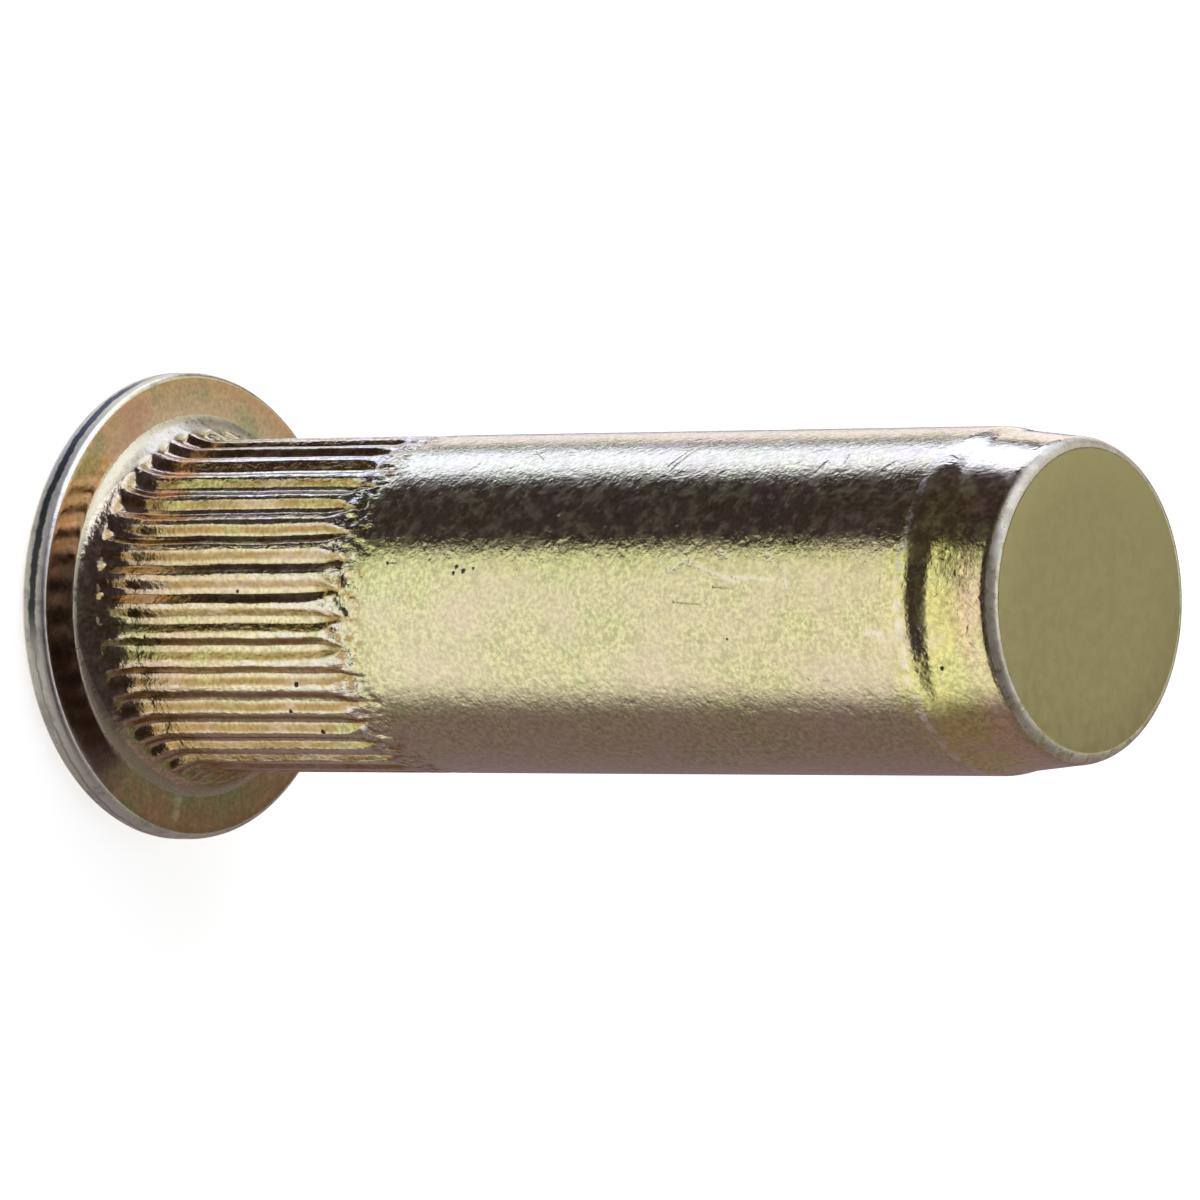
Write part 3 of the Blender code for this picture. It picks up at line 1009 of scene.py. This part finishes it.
studio = {
    "dark": (0.050, 0.038, 0.050, 1.0),
    "table": (1.06, 1.05, 1.08, 1.0),
    "tableEdge": (0.93, 1.0, 0.80, 1.0),
    "strip": (1.38, 1.55, 2.45, 1.0),
    "fringe": (1.12, 1.06, 1.22, 1.0),
    "side": (0.24, 0.18, 0.21, 1.0),
    "backLeft": (0.62, 0.62, 0.62, 1.0),
    "backRight": (0.22, 0.22, 0.21, 1.0),
    "softBox": (1.35, 1.45, 1.90, 1.0),
    "overhead": (1.3, 1.35, 1.6, 1.0),
    "white": (1.0, 1.0, 1.0, 1.0),
    # where each lies, in degrees: turns are 0 towards -Y and grow towards +X, rises are above the floor
    "tableLeft": (-39.0, -34.0),
    "tableRight": (54.0, 80.0),
    "tableRise": (-26.0, -18.0),
    "tableSkew": 0.15,  # its far edge lies askew, higher towards +X
    "tableFoot": (-58.0, -68.0),  # below this rise it lies all round
    "tableEdgeTurns": (-40.0, -6.0),
    "stripTurns": (-128.8, -98.5, 2.0),
    "stripRises": (-65.0, 70.0, 6.0),
    "fringeTurns": (-167.0, -138.5, 2.5),
    "fringeRises": (-70.0, -8.0, 6.0),
    "sideTurns": (60.0, 84.0),
    "sideTop": (12.0, 28.0),
    "backTurns": (66.0, 84.0),
    "backRise": (6.0, 22.0),
    "backSplit": (-0.10, 0.10),  # x of the direction where the back wall changes
    "softBoxAxis": (-0.763, -0.067, 0.643),
    "softBoxEdge": (0.85, 0.89),  # cosine of the angle from its axis
    "overheadAxis": (0.0, 0.27, 0.963),
    "overheadEdge": (0.925, 0.945),
    "floorColour": (0.80, 0.79, 0.70, 1.0),
    "floorRoughness": 0.9,
    "floorSize": 1.2,
    "floorGap": 0.02 * mm,  # so that floor and head don't share one plane
    "floorGlow": 0.72,
}


def makeWorld():
    world = bpy.data.worlds.new("studio")
    bpy.context.scene.world = world
    world.use_nodes = True
    world.cycles.sampling_method = "NONE"  # the world is smooth, so bounced rays find it soon enough
    tree = world.node_tree
    tree.nodes.clear()
    direction = addNode(tree, "ShaderNodeTexCoord").outputs["Generated"]
    split = addNode(tree, "ShaderNodeSeparateXYZ", {0: direction}).outputs
    degrees = 180 / math.pi
    turn = times(calc("ARCTAN2", split["X"], times(split["Y"], -1.0)), degrees)
    rise = times(calc("ARCSINE", split["Z"]), degrees)
    away = calc("ABSOLUTE", turn)

    # how much a direction lies within a round light
    def disc(name):
        cosine = calcVector("DOT_PRODUCT", direction, studio[name + "Axis"])
        return ramp(cosine, *studio[name + "Edge"])

    skewed = minus(rise, times(turn, studio["tableSkew"]))
    table = times(ramp(turn, *studio["tableLeft"]),
                  ramp(turn, *studio["tableRight"], 1.0, 0.0),
                  ramp(skewed, *studio["tableRise"], 1.0, 0.0))
    table = calc("MAXIMUM", table, ramp(rise, *studio["tableFoot"]))
    strip, fringe = (times(window(turn, *studio[name + "Turns"]),
                           window(rise, *studio[name + "Rises"])) for name in ("strip", "fringe"))
    side = times(ramp(turn, *studio["sideTurns"]), ramp(rise, *studio["sideTop"], 1.0, 0.0))
    back = times(ramp(away, *studio["backTurns"]), ramp(rise, *studio["backRise"]))
    # the table looks greener towards its left edge, and the back wall is lighter on its left half
    tableColour = blendColour(ramp(turn, *studio["tableEdgeTurns"]),
                              studio["tableEdge"], studio["table"])
    backColour = blendColour(ramp(split["X"], *studio["backSplit"]),
                             studio["backLeft"], studio["backRight"])

    colour = studio["dark"]
    seen = addNode(tree, "ShaderNodeLightPath").outputs["Is Camera Ray"]
    for mask, light in ((side, studio["side"]), (fringe, studio["fringe"]), (table, tableColour),
                        (strip, studio["strip"]), (back, backColour), (disc("softBox"), studio["softBox"]),
                        (disc("overhead"), studio["overhead"]), (seen, studio["white"])):
        colour = blendColour(mask, colour, light)
    background = addNode(tree, "ShaderNodeBackground", {"Color": colour, "Strength": 1.0})
    addNode(tree, "ShaderNodeOutputWorld", {0: background.outputs[0]})
    print("studio: world set")


def makeFloor():
    half, under = studio["floorSize"] / 2, -studio["floorGap"]
    mesh = bpy.data.meshes.new("floor")
    corners = [(-half, -half, under), (half, -half, under), (half, half, under), (-half, half, under)]
    mesh.from_pydata(corners, [], [(0, 1, 2, 3)])
    floor = bpy.data.objects.new("floor", mesh)
    bpy.context.scene.collection.objects.link(floor)
    material = bpy.data.materials.new("paleFloor")
    material.use_nodes = True
    tree = material.node_tree
    shader = tree.nodes["Principled BSDF"]
    shader.inputs["Base Color"].default_value = studio["floorColour"]
    shader.inputs["Roughness"].default_value = studio["floorRoughness"]
    shader.inputs["Specular IOR Level"].default_value = 0.0
    seen = addNode(tree, "ShaderNodeLightPath").outputs["Is Camera Ray"]
    shader.inputs["Emission Color"].default_value = studio["white"]
    tree.links.new(times(seen, studio["floorGlow"]), shader.inputs["Emission Strength"])
    mesh.materials.append(material)
    floor.visible_glossy = False
    print("studio: floor laid")


# the camera looks down on the standing nut and is rolled, so that the closed end is at the right

view = {
    "elevation": math.radians(38.77),
    "roll": -0.0060,
    "distance": 386.77 * mm,  # from the centre of the head's underside, along the view
    "right": -13.31 * mm,  # where that centre lies in the picture
    "up": -0.19 * mm,
    "lens": 349.6,
    "sensor": 36.0,
    "nearest": 10 * mm,
}


def makeCamera():
    tilt, roll = view["elevation"], view["roll"]
    levelRight = Vector((0, math.sin(tilt), math.cos(tilt)))
    levelUp = Vector((-1, 0, 0))
    back = Vector((0, -math.cos(tilt), math.sin(tilt)))
    right = levelRight * math.cos(roll) + levelUp * math.sin(roll)
    up = levelUp * math.cos(roll) - levelRight * math.sin(roll)
    target = Vector((0, 0, blank["headThickness"]))
    spot = target - right * view["right"] - up * view["up"] + back * view["distance"]
    data = bpy.data.cameras.new("camera")
    data.lens = view["lens"]
    data.sensor_width = view["sensor"]
    data.clip_start = view["nearest"]
    camera = bpy.data.objects.new("camera", data)
    camera.matrix_world = Matrix.Translation(spot) @ Matrix((right, up, back)).transposed().to_4x4()
    bpy.context.scene.collection.objects.link(camera)
    bpy.context.scene.camera = camera
    print("camera: set")


makeCamera()
groups = {"bloom": bloomGroup(), "peel": peelGroup(), "wear": wearGroup(), "pit": pitGroup(),
          "scratch": scratchGroup()}
body = makeBody(bodyMaterial(groups))
ridge = makeThread(threadMaterial(groups))
for piece in (body, ridge):
    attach(piece, "root")
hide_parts("rivet_nut")
makeFloor()
makeWorld()
bpy.context.scene.view_settings.view_transform = "Standard"
